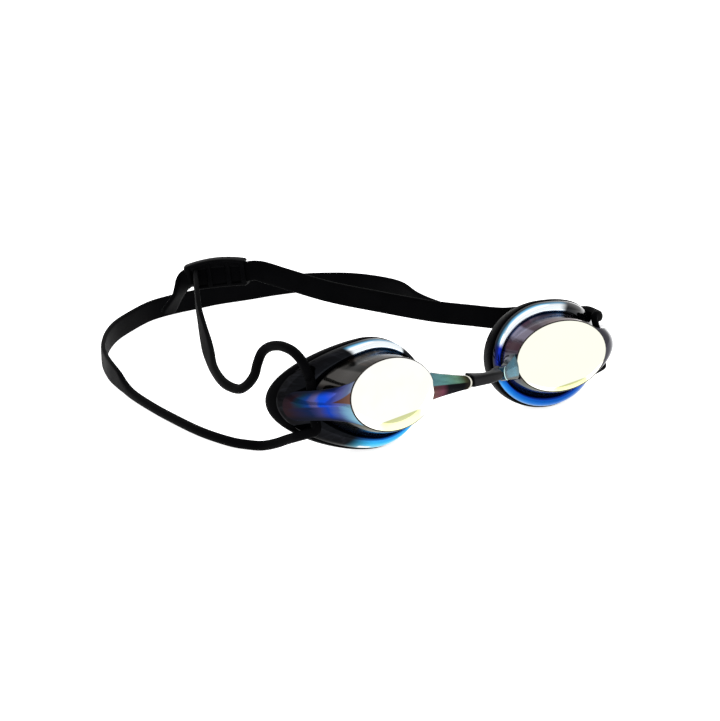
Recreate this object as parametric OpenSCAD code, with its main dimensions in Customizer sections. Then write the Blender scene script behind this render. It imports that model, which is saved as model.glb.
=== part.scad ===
// Swim goggles: two mirrored one-piece lenses on a flexible nose bridge, soft eye gaskets,
// and one silicone strap that passes through both temple slots and meets in a back clip.
// +X is the wearer's left, +Y is towards the back of the head, +Z is up.
// The origin is on the resting surface, under the middle of the whole. The lists and functions
// below are measured from under the nose bridge, and in_frame() moves each piece by frame_shift.

/* [Cup placement] */
// Distance between the centres of the two front windows
window_pitch = 66; // [60:0.5:72]
// Height of the window centres above the resting surface
window_height = 20.75; // [20.7:0.05:24]
// Turn of each window towards the nose, in degrees
toe_in = 7.2; // [0:0.2:8]
// Lean of each window backwards from the vertical, in degrees
lean_back = 13.4; // [10:0.2:15]
// Rise of each window's outer end, in degrees
outer_rise = 3.8; // [0:0.2:5]

/* [Lens] */
// Half width of the oval front window
window_half_width = 17; // [15:0.25:18]
// Half height of the oval front window
window_half_height = 11.6; // [10:0.1:12.5]
// Half height of the lens at its flange
flange_half_height = 17.2; // [16:0.1:18]
// Wall thickness of the lens
lens_wall = 1.8; // [1.4:0.1:2.2]
// How fast the cup wraps back round the temple, per millimetre
temple_wrap = 0.019; // [0.015:0.001:0.02]

/* [Temple arm] */
// Thickness of the arm that bridges the strap slot
arm_thickness = 1.6; // [1.2:0.1:2]
// Height of the arm at its rounded end
arm_end_height = 9; // [7:0.5:11]

/* [Nose bridge] */
// Height of the bridge web at its middle
bridge_height = 4; // [3.4:0.1:5]
// Thickness of the bridge web
bridge_thickness = 3; // [2:0.1:4]
// Gap between a nose tab and the pad that holds it
tab_gap = 0.8; // [0.75:0.05:1]

/* [Strap] */
// Width of the wide band round the back of the head
band_width = 7; // [6:0.1:7.2]
// Thickness of the wide band
band_thickness = 1.8; // [1.4:0.1:2.2]
// Diameter of the narrow cord at the temples
cord_diameter = 3.2; // [2.8:0.1:3.4]

/* [Back clip] */
// Length of the clip along the strap
clip_length = 22; // [20:0.5:26]
// Height of the clip
clip_height = 9.4; // [9.2:0.1:11]
// Clear depth of the strap passage inside the clip
clip_passage = 3.4; // [3.4:0.1:4]
// Thickness of the clip's bars, measured through the strap
clip_bar_depth = 1; // [0.8:0.1:1.2]
// Radius of the clip's bow round the head
clip_bow_radius = 60; // [58:1:90]

/* [Hidden] */
frame_shift = [0.7, -85.7, 0];
ring_points = 48;
strap_sides = 12;
smooth_steps = 4;

// Arm and tab lines in the cup's plan: [towards the temple, towards the back]
arm_root = [window_half_width - 0.1, 0.3];
arm_bulge = [24, 1.2];
arm_crown = 3.5;
arm_tip = [28, 21];
arm_spread = [48, 36];
arm_round = 0.14;
slot_angle = 62;
temple_narrowing = 0.06;
temple_lift = 0.9;
tab_root = [-16.4, 0.8];
tab_tip = [-26, -8];
tab_angle = atan2(tab_tip[1] - tab_root[1], tab_tip[0] - tab_root[0]);
tab_thickness = 2;
tab_root_height = 8.4;
tab_end_radius = 2.2;
pad_thickness = 2;
pad_reach = 5.2;
bridge_arch = 0.5;

// The strap's flattened run between the arm and the lens wall
slot_place = [21.8, 13.2];
slot_reach = 8;
slot_part_gap = 2;
slot_width = 3.4;
slot_thickness = 2.4;
slot_bottom = [slot_place[0], slot_place[1], -slot_reach];
slot_top = [slot_place[0], slot_place[1], slot_reach];

// Back clip: its middle, the strap's heading through it, and the strap's line in its bow
clip_middle = [-29.3, 123, 29.8];
clip_heading = -36;
clip_rise = 6.5;
clip_clear_height = band_width + 0.6;
clip_bar_width = 1.8;
clip_bow = pow(clip_length / 2, 2) / (2 * clip_bow_radius);
clip_bow_centre = clip_bow / 2 - clip_bow_radius;
clip_along = [cos(clip_heading) * cos(clip_rise), sin(clip_heading) * cos(clip_rise), sin(clip_rise)];

// Strap routes, chosen by hand: [x, y] for the band that stands on its edge, and
// [x, y, z, width, thickness, tilt] for the rest
c = cord_diameter;
w = band_width;
t = band_thickness;
lower_band_route = [
    [-64.7, 143.8], [-59.2, 152.7], [-52.4, 160.4], [-44.1, 166.8], [-32.5, 172.6],
    [-22, 175.4], [-10, 176.2], [0, 176.6], [12, 176.9], [24, 176.9], [36, 175.1],
    [44.8, 170.4], [52.5, 163.4], [58.2, 152], [60.4, 140]
];
lower_cord_right_route = [
    [-58.2, 9.2, 10.4, c, 2.6, 0], [-60.6, 12.4, 8.8, c, c, 0], [-61.8, 17.3, 6.5, c, c, 0],
    [-63.2, 22.6, 3.8, c, c, 0], [-65.2, 27.6, 1.9, c, c, 0], [-68.2, 31.4, 1.65, c, c, 0],
    [-71.4, 38.4, 1.65, c, c, 0], [-74.9, 52, 1.65, c, c, 0], [-76.5, 70, 1.65, c, c, 0],
    [-77, 84, 1.65, c, c, 0], [-76.9, 95.8, 1.8, c + 0.4, 2.8, 0],
    [-76.4, 103.5, 2.5, 4.8, 2.3, 0], [-75.8, 110, 3.3, 6.4, t, 0],
    [-74.6, 117.5, w / 2, w, t, 0], [-72.5, 125.5, w / 2, w, t, 0],
    [-69.1, 135, w / 2, w, t, 0], [-64.7, 143.8, w / 2, w, t, 0]
];
lower_cord_left_route = [
    [57.8, 9.4, 10.4, c, 2.6, 0], [59.8, 12.8, 8.6, c, c, 0], [60.9, 17.6, 5.9, c, c, 0],
    [62.4, 24, 3.2, c, c, 0], [64.4, 32, 1.8, c, c, 0], [68.4, 42, 1.65, c, c, 0],
    [72.2, 54, 1.65, c, c, 0], [74.6, 66, 1.65, c, c, 0], [75.2, 78, 1.65, c, c, 0],
    [73.4, 90, 1.65, c, c, 0], [69.8, 101, 1.8, c + 0.4, 2.8, 0],
    [65.8, 111, 2.1, 3.9, 2.5, 0], [62.8, 121, 2.5, 4.7, 2.2, 0],
    [61.1, 130, 2.95, 5.7, t, 0], [60.4, 140, w / 2, w, t, 0]
];
tail_route = [
    [-43.6, 133.4, 15.6, w - 1, t, 62], [-43, 132.9, 17.2, w, t, 64],
    [-42, 132.2, 20, w, t, 70], [-41.2, 131.6, 22.6, w, t, 68],
    [-40.8, 131.4, 24.8, w, t, 54], [-40.5, 131.2, 26.7, w, t, 32]
];
upper_band_route = concat(
    tail_route,
    [
        for (s = [-12.7, -11.2, -5, 1, 7, 11.5, 14.5])
            let (p = clip_middle + s * clip_along)
            [p[0], p[1], p[2], w, t, 0]
    ],
    [
        [-14.7, 112.4, 30.6, w, t, 0], [-9.5, 105.4, 28.8, w, t, 0], [0.6, 93.4, 25.7, w, t, 0],
        [13, 79.8, 23.2, w, t, 0], [25.2, 66.4, 21, w, t, 0], [35, 55.7, 20.1, w, t, 0],
        [42.2, 47.7, 19.8, w, t, 0]
    ]);
upper_cord_left_route = [
    [58.9, 13.9, 26.7, c, 2.6, 0], [60.9, 17.9, 25.9, c, c, 0], [62.4, 23.4, 25.5, c, c, 0],
    [62.8, 28.2, 24.4, c, c, 0], [61.3, 33, 23, c, c, 0], [57.8, 37, 22.1, c + 0.6, 2.6, 0],
    [52.4, 40.6, 21, 5.6, 2.1, 0], [47.4, 44, 20.2, w - 0.2, t, 0], [42.2, 47.7, 19.8, w, t, 0]
];
slack_cord_route = [
    [-57.1, 11.6, 29, c, 2.6, 0], [-58.4, 12.4, 32.9, c, c, 0], [-59, 16.2, 35.1, c, c, 0],
    [-59.4, 20.6, 35.6, c, c, 0], [-59.7, 25.2, 35.1, c, c, 0], [-60.3, 30, 33.5, c, c, 0],
    [-61.2, 33.2, 30.9, c, c, 0], [-62.2, 34.6, 27, c, c, 0], [-62.6, 36.3, 22.6, c, c, 0],
    [-63.5, 39.8, 18.5, c, c, 0], [-64.2, 44.7, 15.9, c, c, 0]
];
slack_band_route = [
    [-64.2, 44.7, 15.9, c, c, 0], [-64.2, 53.8, 15.3, c + 0.3, c - 0.2, 0],
    [-61.9, 66, 16, 3.9, 2.6, 10], [-58.1, 76.7, 17.8, 5.2, 2.2, 22],
    [-53.3, 88.6, 20.6, 6.4, t, 12], [-49, 99, 24.1, w, t, 0], [-45.2, 107, 26.6, w, t, 0],
    [-41.5, 114.6, 28.2, w, t, 0], [-37.4, 123, 29, w - 0.2, t, 0], [-35.5, 125.7, 29.05, w - 0.2, t, 0]
];

// ---- Frames ----

// A point in the left cup's own frame is [towards the temple, towards the back, up].
function turn_x(p, a) = [p[0], p[1] * cos(a) - p[2] * sin(a), p[1] * sin(a) + p[2] * cos(a)];
function turn_y(p, a) = [p[0] * cos(a) + p[2] * sin(a), p[1], -p[0] * sin(a) + p[2] * cos(a)];
function turn_z(p, a) = [p[0] * cos(a) - p[1] * sin(a), p[0] * sin(a) + p[1] * cos(a), p[2]];
function left_point(p) =
    turn_z(turn_x(turn_y(p, -outer_rise), -lean_back), -toe_in)
    + [window_pitch / 2, 0, window_height];
function flip_x(p) = [-p[0], p[1], p[2]];
function right_point(p) = flip_x(left_point(p));

module left_cup() {
    translate([window_pitch / 2, 0, window_height])
        rotate([0, 0, -toe_in])
            rotate([-lean_back, 0, 0])
                rotate([0, -outer_rise, 0])
                    children();
}

module right_cup() {
    mirror([1, 0, 0])
        left_cup() children();
}

// ---- Lofts round the cup ----

// One ring of the cup: half widths to the nose and the temple, half height, and depth. Rings
// that wrap round the temple are narrower and higher on that side.
function wrap_depth(u) = temple_wrap * pow(max(u, 0), 2);
function ring_u(r, t) = (cos(t) < 0 ? r[0] : r[1]) * cos(t);
function ring(r, wrap = 1) = [
    for (i = [0:ring_points - 1])
        let (t = 360 * i / ring_points, u = ring_u(r, t), temple = max(cos(t), 0) * wrap)
        [u, r[3] + wrap * wrap_depth(u),
            r[2] * sin(t) * (1 - temple_narrowing * temple) + temple_lift * temple * temple]
];
function flatten(lists) = [for (list = lists) for (item = list) item];
function band_faces(n, a, b) = [
    for (i = [0:n - 1])
        let (j = (i + 1) % n)
        each [[a * n + i, a * n + j, b * n + j], [a * n + i, b * n + j, b * n + i]]
];

// A closed ring-shaped skin through every ring, back to the first one.
module closed_loft(rings) {
    n = len(rings[0]);
    k = len(rings);
    polyhedron(
        points = flatten(rings),
        faces = flatten([for (i = [0:k - 1]) band_faces(n, i, (i + 1) % k)]),
        convexity = 6);
}

// A skin that starts and ends in a flat cap.
module capped_loft(rings) {
    n = len(rings[0]);
    k = len(rings);
    polyhedron(
        points = flatten(rings),
        faces = concat(
            [[for (i = [n - 1:-1:0]) i]],
            flatten([for (i = [0:k - 2]) band_faces(n, i, i + 1)]),
            [[for (i = [0:n - 1]) (k - 1) * n + i]]),
        convexity = 6);
}

// The same for a bent plate: each ring runs out along one face and back along the other, and
// the two sides are closed by a ladder of triangles.
module plate_loft(rings) {
    n = len(rings[0]);
    k = len(rings);
    far = (k - 1) * n;
    polyhedron(
        points = flatten(rings),
        faces = concat(
            flatten([for (i = [0:k - 2]) band_faces(n, i, i + 1)]),
            [
                for (i = [0:n / 2 - 2])
                    each [
                        [i + 1, i, n - 1 - i], [i + 1, n - 1 - i, n - 2 - i],
                        [far + i, far + i + 1, far + n - 2 - i], [far + i, far + n - 2 - i, far + n - 1 - i]
                    ]
            ]),
        convexity = 6);
}

// ---- Straps ----

// A route is a list of [x, y, z, width, thickness, tilt]; tilt leans the width off the vertical.
function spline(a, b, c, d, t) =
    0.5 * (2 * b + (c - a) * t + (2 * a - 5 * b + 4 * c - d) * t * t
        + (3 * b - a - 3 * c + d) * t * t * t);
function smooth(route) =
    let (last = len(route) - 1)
    [
        for (i = [0:last - 1], s = [0:smooth_steps - 1])
            spline(route[max(i - 1, 0)], route[i], route[i + 1], route[min(i + 2, last)],
                s / smooth_steps),
        route[last]
    ];
function place(row) = [row[0], row[1], row[2]];
function unit(v) = v / norm(v);
function heading(rows, i) =
    unit(place(rows[min(i + 1, len(rows) - 1)]) - place(rows[max(i - 1, 0)]));
// Width direction: upright, square to the heading, then leaned sideways by the tilt.
function side_of(h, side_hint) =
    let (c = cross(h, [0, 0, 1]))
    norm(c) < 0.35 ? unit(side_hint - h * (side_hint * h)) : unit(c);
function strap_ring(row, h, side_hint) =
    let (side = side_of(h, side_hint), rise = cross(side, h),
        across = rise * cos(row[5]) + side * sin(row[5]),
        through = cross(across, h))
    [
        for (i = [0:strap_sides - 1])
            let (t = 360 * (i + 0.5) / strap_sides, c = cos(t), s = sin(t))
            place(row)
            + across * row[3] / 2 * sign(c) * pow(abs(c), 0.6)
            + through * row[4] / 2 * sign(s) * pow(abs(s), 0.6)
    ];
function strap_rings(rows, side_hint) =
    [for (i = [0:len(rows) - 1]) strap_ring(rows[i], heading(rows, i), side_hint)];

module strap(route, side_hint = [1, 0, 0]) {
    rows = smooth(route);
    capped_loft(strap_rings(rows, side_hint));
}

// ---- Lens ----

function oval(grow, depth) = [
    window_half_width + grow, window_half_width + grow, window_half_height + grow, depth];

module lens_shell() {
    h = flange_half_height;
    capped_loft([
        ring(oval(0, 0), 0),
        ring(oval(0.45, 0.7), 0),
        ring([17.9, 17.9, 13.0, 6.8], 0.5),
        ring([18.5, 19.2, 13.9, 8.2], 1.15),
        ring([19.0, 21.8, h - 2.2, 7.8], 1.1),
        ring([19.6, 25.0, h - 0.8, 8.6], 1.05),
        ring([20.0, 27.0, h, 10.2]),
        ring([20.0, 27.2, h, 11.4]),
        ring([18.0, 24.4, h - 2.6, 11.4]),
        ring([16.6, 17.4, 12.2, 10.2], 1.1),
        ring([15.8, 15.8, 10.6, lens_wall], 0)
    ]);
}

// The arm is a plate that bulges from the window's outer edge and curves back to the flange:
// its outer face starts on the oval edge and narrows to a rounded end.
function arm_point(across, along, inward) =
    let (a = arm_spread[across > 0 ? 1 : 0] * across, start_u = window_half_width * cos(a),
        start_v = window_half_height * sin(a), end_v = arm_end_height / 2 * across,
        reach = along * (1 - arm_round * (1 - sqrt(max(0, 1 - across * across)))),
        rest = 1 - reach, ease = pow(rest, 3),
        bulge = [arm_bulge[0] - arm_crown * across * across, arm_bulge[1]],
        plan = arm_root * rest * rest + bulge * 2 * reach * rest + arm_tip * reach * reach,
        way = unit((bulge - arm_root) * rest + (arm_tip - bulge) * reach))
    [plan[0] - (window_half_width - start_u) * ease - inward * way[1],
        plan[1] + inward * way[0], end_v + (start_v - end_v) * ease];
module temple_arm() {
    across = [for (i = [-6:6]) i / 6];
    along = [for (i = [0:8]) i / 8];
    plate_loft([
        for (a = across)
            concat(
                [for (b = along) arm_point(a, b, arm_thickness)],
                [for (i = [8:-1:0]) arm_point(a, along[i], 0)])
    ]);
}

// The nose tab reaches forwards and inwards from the window's inner end.
module nose_tab() {
    run = norm(tab_tip - tab_root);
    translate([tab_root[0], tab_root[1], 0])
        rotate([0, 0, tab_angle])
            rotate([90, 0, 0])
                linear_extrude(tab_thickness) {
                    polygon([
                        [0, -tab_root_height / 2], [run - tab_end_radius, -tab_end_radius],
                        [run - tab_end_radius, tab_end_radius], [0, tab_root_height / 2]]);
                    translate([run - tab_end_radius, 0])
                        circle(r = tab_end_radius, $fn = 48);
                }
}

module lens_shape() {
    union() {
        lens_shell();
        temple_arm();
        nose_tab();
    }
}

module lens_right() {
    color("midnightblue")
        right_cup() lens_shape();
}

module lens_left() {
    color("midnightblue")
        left_cup() lens_shape();
}

// ---- Gasket ----

module gasket_shape() {
    h = flange_half_height;
    closed_loft([
        ring([20.3, 27.5, h + 0.3, 11.5]),
        ring([20.6, 28.4, h + 0.4, 13.0]),
        ring([20.4, 27.6, h, 16.0]),
        ring([19.4, 24.6, h - 1.0, 19.0]),
        ring([17.2, 21.8, h - 3.4, 19.2]),
        ring([16.6, 22.0, h - 3.6, 16.0]),
        ring([18.2, 24.6, h - 2.4, 11.5])
    ]);
}

module gasket_right() {
    color("black")
        right_cup() gasket_shape();
}

module gasket_left() {
    color("black")
        left_cup() gasket_shape();
}

// ---- Nose bridge ----

// Plan of one half: the web in the middle, then the pad behind the nose tab.
module bridge_plan() {
    front = place_in_plan(left_point([tab_tip[0], tab_tip[1], 0]));
    root = place_in_plan(left_point([tab_root[0], tab_root[1], 0]));
    along = unit(root - front);
    back = [-along[1], along[0]];
    pad_front = tab_thickness + tab_gap;
    pad_back = pad_front + pad_thickness;
    web_end = front - along * (tab_gap + 0.1);
    half = [
        [0, web_end[1] - bridge_arch],
        web_end,
        web_end + back * pad_front,
        front + back * pad_front + along * pad_reach,
        front + back * pad_back + along * pad_reach,
        front + back * pad_back,
        [0, web_end[1] - bridge_arch + bridge_thickness]
    ];
    polygon(concat(half, [for (i = [len(half) - 1:-1:0]) [-half[i][0], half[i][1]]]));
}

function place_in_plan(p) = [p[0], p[1]];

module nose_bridge() {
    z = left_point([tab_tip[0], tab_tip[1], 0])[2];
    color("dimgray")
        intersection() {
            translate([0, 0, z - 6])
                linear_extrude(12)
                    bridge_plan();
            translate([0, 20, z])
                rotate([90, 0, 0])
                    linear_extrude(40)
                        polygon([
                            [0, -bridge_height / 2], [6, -bridge_height / 2 - 0.3],
                            [14, -4.8], [14, 3.6],
                            [6, bridge_height / 2 + 0.1], [0, bridge_height / 2],
                            [-6, bridge_height / 2 + 0.1], [-14, 3.6],
                            [-14, -4.8], [-6, -bridge_height / 2 - 0.3]]);
        }
}

// ---- Strap through the temple slots ----

module slot_loop_shape() {
    translate([slot_place[0], slot_place[1], slot_part_gap - slot_reach])
        rotate([0, 0, slot_angle])
            linear_extrude(2 * (slot_reach - slot_part_gap))
                polygon([
                    for (i = [0:strap_sides - 1])
                        let (t = 360 * (i + 0.5) / strap_sides)
                        [slot_width / 2 * cos(t), slot_thickness / 2 * sin(t)]]);
}

module strap_slot_loop_right() {
    color("black")
        right_cup() slot_loop_shape();
}

module strap_slot_loop_left() {
    color("black")
        left_cup() slot_loop_shape();
}

// ---- Strap, lower strand: it lies on the surface round the back ----

module strap_lower_band() {
    rows = smooth(lower_band_route);
    last = len(rows) - 1;
    color("black")
        linear_extrude(band_width)
            polygon(concat(
                [for (i = [0:last]) edge_point(rows, i, band_thickness / 2)],
                [for (i = [last:-1:0]) edge_point(rows, i, -band_thickness / 2)]));
}

function edge_point(rows, i, offset) =
    let (h = unit(rows[min(i + 1, last_of(rows))] - rows[max(i - 1, 0)]))
    rows[i] + offset * [-h[1], h[0]];
function last_of(rows) = len(rows) - 1;

module strap_lower_cord_right() {
    color("black")
        strap(concat([cord_row(right_point(slot_bottom))], lower_cord_right_route), [1, 1, 0]);
}

module strap_lower_cord_left() {
    color("black")
        strap(concat([cord_row(left_point(slot_bottom))], lower_cord_left_route), [1, -1, 0]);
}

function cord_row(p) = [p[0], p[1], p[2], slot_width, slot_thickness, 0];

// ---- Strap, upper strand: from the left slot, through the clip, to its free tail ----

module strap_upper_band() {
    color("black")
        strap(upper_band_route, [-1, -1.3, 0]);
}

module strap_upper_cord_left() {
    color("black")
        strap(concat([cord_row(left_point(slot_top))], upper_cord_left_route), [1, -1, 0]);
}

// ---- Strap, slack strand: from the right slot, over and down, then up to the clip ----

module strap_slack_cord() {
    color("black")
        strap(concat([cord_row(right_point(slot_top))], slack_cord_route), [1, 1, 0]);
}

module strap_slack_band() {
    color("black")
        strap(slack_band_route);
}

// ---- Back clip ----

// A bowed ladder: two rails, with bars in turn inside and outside the strap.
module back_clip() {
    half_angle = clip_length / 2 / clip_bow_radius * 180 / PI;
    depth = clip_passage + 2 * clip_bar_depth;
    rail = (clip_height - clip_clear_height) / 2;
    bar_angle = clip_bar_width / clip_bow_radius * 180 / PI;
    inside = clip_bow_radius - depth / 2;
    color("dimgray")
        translate([clip_middle[0], clip_middle[1], clip_middle[2]])
            rotate([0, -clip_rise, clip_heading])
                translate([0, clip_bow_centre, 0]) {
                    for (side = [-1, 1])
                        translate([0, 0, side * (clip_clear_height + rail) / 2])
                            clip_arc(inside, depth, rail, -half_angle, half_angle);
                    for (step = [-1:2 / 3:1])
                        clip_arc(inside, clip_bar_depth, clip_height,
                            step * (half_angle - bar_angle / 2) - bar_angle / 2,
                            step * (half_angle - bar_angle / 2) + bar_angle / 2);
                    for (step = [-2 / 3:2 / 3:2 / 3])
                        clip_arc(inside + clip_passage + clip_bar_depth, clip_bar_depth,
                            clip_height,
                            step * (half_angle - bar_angle / 2) - bar_angle / 2,
                            step * (half_angle - bar_angle / 2) + bar_angle / 2);
                }
}

module clip_arc(radius, depth, height, from, to) {
    rotate([0, 0, 90 + from])
        rotate_extrude(angle = to - from, $fn = 180)
            translate([radius, -height / 2])
                square([depth, height]);
}

module in_frame() {
    translate(frame_shift)
        children();
}

in_frame() nose_bridge();
in_frame() lens_right();
in_frame() lens_left();
in_frame() gasket_right();
in_frame() gasket_left();
in_frame() strap_slot_loop_right();
in_frame() strap_slot_loop_left();
in_frame() strap_lower_band();
in_frame() strap_lower_cord_right();
in_frame() strap_lower_cord_left();
in_frame() strap_upper_band();
in_frame() strap_upper_cord_left();
in_frame() strap_slack_cord();
in_frame() strap_slack_band();
in_frame() back_clip();
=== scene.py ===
# Swim goggles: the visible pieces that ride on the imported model.
# Lists and routes are in millimetres, measured from under the nose bridge, as in the CAD source:
# +X is the wearer's left, +Y the back of the head, +Z up. to_row() turns them into metres.
from math import cos, pi, radians, sin, sqrt

import bpy
import numpy as np
from mathutils import Matrix, Vector


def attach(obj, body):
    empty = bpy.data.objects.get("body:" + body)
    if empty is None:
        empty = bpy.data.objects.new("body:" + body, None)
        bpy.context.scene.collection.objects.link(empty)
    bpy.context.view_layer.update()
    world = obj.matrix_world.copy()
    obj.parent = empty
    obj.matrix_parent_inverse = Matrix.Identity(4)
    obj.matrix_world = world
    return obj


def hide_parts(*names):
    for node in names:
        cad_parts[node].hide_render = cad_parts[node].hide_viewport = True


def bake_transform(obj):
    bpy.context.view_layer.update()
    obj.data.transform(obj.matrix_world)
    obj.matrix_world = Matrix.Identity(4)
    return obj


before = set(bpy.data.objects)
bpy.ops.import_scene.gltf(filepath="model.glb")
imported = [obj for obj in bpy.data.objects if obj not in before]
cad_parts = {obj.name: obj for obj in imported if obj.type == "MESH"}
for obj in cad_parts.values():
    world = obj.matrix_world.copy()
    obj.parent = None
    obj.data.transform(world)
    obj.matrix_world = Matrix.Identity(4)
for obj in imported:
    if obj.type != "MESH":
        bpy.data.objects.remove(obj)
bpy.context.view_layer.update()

MM = 0.001
SHIFT = Vector((0.7, -85.7, 0))
ROOT, RIGHT, LEFT, CLIP = "strap_and_bridge", "right_cup", "left_cup", "clip"


def to_row(p):
    """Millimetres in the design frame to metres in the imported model's frame."""
    return (Vector(p) + SHIFT) * MM


# ---- Camera ----

TARGET = Vector((0, 0, 21))
VIEW_TURN, VIEW_RISE, VIEW_FAR = radians(35), radians(19), 700
AIM_RIGHT, AIM_UP = 0.055, -0.0062
LENS, SENSOR = 108.6, 36
back = Vector((-sin(VIEW_TURN) * cos(VIEW_RISE), -cos(VIEW_TURN) * cos(VIEW_RISE), sin(VIEW_RISE)))
right = Vector((cos(VIEW_TURN), -sin(VIEW_TURN), 0))
up = back.cross(right)
aim = (back + AIM_RIGHT * right + AIM_UP * up).normalized()
basis = Matrix((right, up, back)).transposed()
turned = back.rotation_difference(aim).to_matrix() @ basis
camera_data = bpy.data.cameras.new("camera")
camera_data.lens = LENS
camera_data.sensor_width = SENSOR
camera_data.clip_start = 0.01
camera = bpy.data.objects.new("camera", camera_data)
camera.matrix_world = Matrix.Translation(to_row(TARGET + back * VIEW_FAR)) @ turned.to_4x4()
bpy.context.scene.collection.objects.link(camera)
bpy.context.scene.camera = camera


# ---- Mesh helpers ----


def make(name, points, faces, materials, attributes=None, slots=None, sharp=None):
    """A smooth-shaded mesh, sharp past `sharp` degrees. slots gives each face its material."""
    mesh = bpy.data.meshes.new(name)
    mesh.from_pydata([to_row(p) for p in points], [], faces)
    for key, values in (attributes or {}).items():
        layer = mesh.attributes.new(key, "FLOAT", "POINT")
        layer.data.foreach_set("value", [float(v) for v in values])
    for material in materials:
        mesh.materials.append(material)
    if slots:
        mesh.polygons.foreach_set("material_index", slots)
    mesh.update()
    mesh.shade_smooth()
    if sharp:
        mesh.set_sharp_from_angle(angle=radians(sharp))
    obj = bpy.data.objects.new(name, mesh)
    bpy.context.scene.collection.objects.link(obj)
    return obj


def spline(a, b, c, d, t):
    """The point at t between b and c on a Catmull-Rom curve."""
    return 0.5 * (
        2 * b + (c - a) * t + (2 * a - 5 * b + 4 * c - d) * t**2 + (3 * b - a - 3 * c + d) * t**3
    )


def smooth_rows(rows, steps):
    """Rows on a smooth curve through the given rows, `steps` from each to the next."""
    rows = np.array(rows, float)
    last = len(rows) - 1
    out = []
    for i in range(last):
        a, b, c, d = rows[max(i - 1, 0)], rows[i], rows[i + 1], rows[min(i + 2, last)]
        out += [spline(a, b, c, d, k / steps) for k in range(steps)]
    return np.array(out + [rows[last]])


def quads(rings, count, closed=False):
    """Faces between rings of `count` points; closed joins the last ring to the first."""
    pairs = [(k, k + 1) for k in range(rings - 1)] + ([(rings - 1, 0)] if closed else [])
    return [
        (a * count + i, a * count + (i + 1) % count, b * count + (i + 1) % count, b * count + i)
        for a, b in pairs
        for i in range(count)
    ]


# ---- The cups' own frame: [towards the temple, towards the back, up] ----

CUP = (
    Matrix.Translation((33, 0, 20.75))
    @ Matrix.Rotation(radians(-7.2), 4, "Z")
    @ Matrix.Rotation(radians(-13.4), 4, "X")
    @ Matrix.Rotation(radians(-3.8), 4, "Y")
)
WRAP = 0.019
TEMPLE_NARROWING, TEMPLE_LIFT, TOP_SWELL = 0.06, 0.9, 0.02


def cup_point(p, side):
    """A point of the cup's own frame in the design frame; the right cup mirrors the left."""
    q = CUP @ Vector(p)
    return Vector((-q.x, q.y, q.z)) if side == RIGHT else q


def cup_make(side, name, points, faces, materials, **more):
    if side == RIGHT:
        faces = [tuple(reversed(f)) for f in faces]
    return make(name, [cup_point(p, side) for p in points], faces, materials, **more)


def ring(nose, temple, height, depth, wrap, count):
    """An egg-shaped ring. wrap, mostly 0 to 1, bends it back and lifts it towards the temple."""
    points = []
    for i in range(count):
        t = 2 * pi * i / count
        u = (nose if cos(t) < 0 else temple) * cos(t)
        share = max(cos(t), 0)
        narrow = 1 - TEMPLE_NARROWING * wrap * share
        swell = 1 + TOP_SWELL * wrap * (sin(t) > 0)
        v = height * sin(t) * narrow * swell + TEMPLE_LIFT * wrap * share**2
        points.append((u, depth + wrap * WRAP * max(u, 0) ** 2, v))
    return points


# ---- Materials ----

# Most values of a noise fall in this range, which is stretched over what they drive.
NOISE = (0.3, 0.7)


def srgb(*channels):
    """A colour from 0 to 255 a channel, as the linear RGBA that a shader takes."""
    shares = [c / 255 for c in channels]
    linear = [
        x / 12.92 if c <= 10 else ((x + 0.055) / 1.055) ** 2.4 for c, x in zip(channels, shares)
    ]
    return (*linear, 1)


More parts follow.
